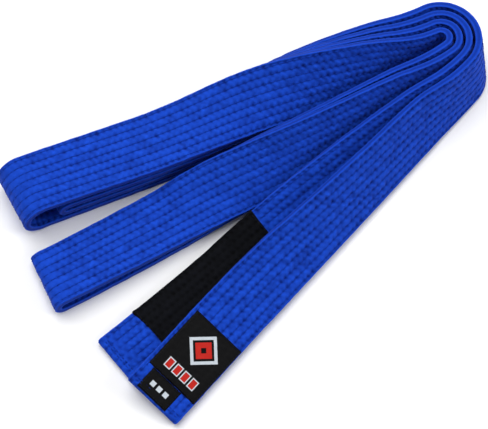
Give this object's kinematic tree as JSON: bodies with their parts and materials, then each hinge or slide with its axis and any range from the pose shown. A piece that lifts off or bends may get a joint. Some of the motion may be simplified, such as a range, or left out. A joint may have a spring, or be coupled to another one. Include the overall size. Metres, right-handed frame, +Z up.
{
  "type": "martial arts belt",
  "caption": "Quilted cotton martial arts belt with a black rank bar and a woven end label, folded in half and laid in nested U-turns.",
  "frame": {"origin": "on the floor, under the middle of the box round the whole folded belt", "axes": "+X towards the nested U-turns, +Y away from the label end, +Z up from the floor"},
  "size_m": [0.3328, 0.2848, 0.0503],
  "materials": {
    "cover_cotton": "quilted plain-woven cotton, matt",
    "core_cotton": "undyed cotton padding, matt",
    "blue_thread": "spun sewing thread",
    "bar_cotton": "black plain-woven cotton, matt",
    "black_thread": "spun sewing thread",
    "label_satin": "woven satin label"
  },
  "bodies": {
    "belt": {"cover_label_run": "cover_cotton", "cover_turn_1": "cover_cotton", "cover_far_run_1": "cover_cotton", "cover_outer_fold": "cover_cotton", "cover_far_run_4": "cover_cotton", "cover_turn_4": "cover_cotton", "cover_near_run_4": "cover_cotton", "cover_middle_fold": "cover_cotton", "cover_near_run_3": "cover_cotton", "cover_turn_3": "cover_cotton", "cover_far_run_3": "cover_cotton", "cover_inner_fold": "cover_cotton", "cover_far_run_2": "cover_cotton", "cover_turn_2": "cover_cotton", "cover_bar_run": "cover_cotton", "core_layer_label_side": "core_cotton", "core_layer_back_side": "core_cotton", "stitch_row_1": "blue_thread", "stitch_row_2": "blue_thread", "stitch_row_3": "blue_thread", "stitch_row_4": "blue_thread", "stitch_row_5": "blue_thread", "stitch_row_6": "blue_thread", "stitch_row_7": "blue_thread", "stitch_row_8": "blue_thread", "end_seam_bar_end": "blue_thread", "rank_bar": "bar_cotton", "rank_bar_seam_inner": "black_thread", "rank_bar_seam_outer": "black_thread"},
    "label_tail": {"cover_label_tail": "cover_cotton", "core_layer_label_side_tail": "core_cotton", "core_layer_back_side_tail": "core_cotton", "stitch_row_1_tail": "blue_thread", "stitch_row_2_tail": "blue_thread", "stitch_row_3_tail": "blue_thread", "stitch_row_4_tail": "blue_thread", "stitch_row_5_tail": "blue_thread", "stitch_row_6_tail": "blue_thread", "stitch_row_7_tail": "blue_thread", "stitch_row_8_tail": "blue_thread", "end_seam_label_end": "blue_thread", "woven_label": "label_satin", "woven_label_seam": "black_thread", "size_tab": "label_satin", "size_tab_seam": "black_thread"}
  },
  "joints": [
    {"name": "label_tail_lift", "type": "hinge", "parent": "belt", "child": "label_tail", "pos_m": [0.03618, -0.02689, 0.01757], "axis": [-0.5963, 0.5212, 0.6106], "range_deg": [0, 60]}
  ]
}
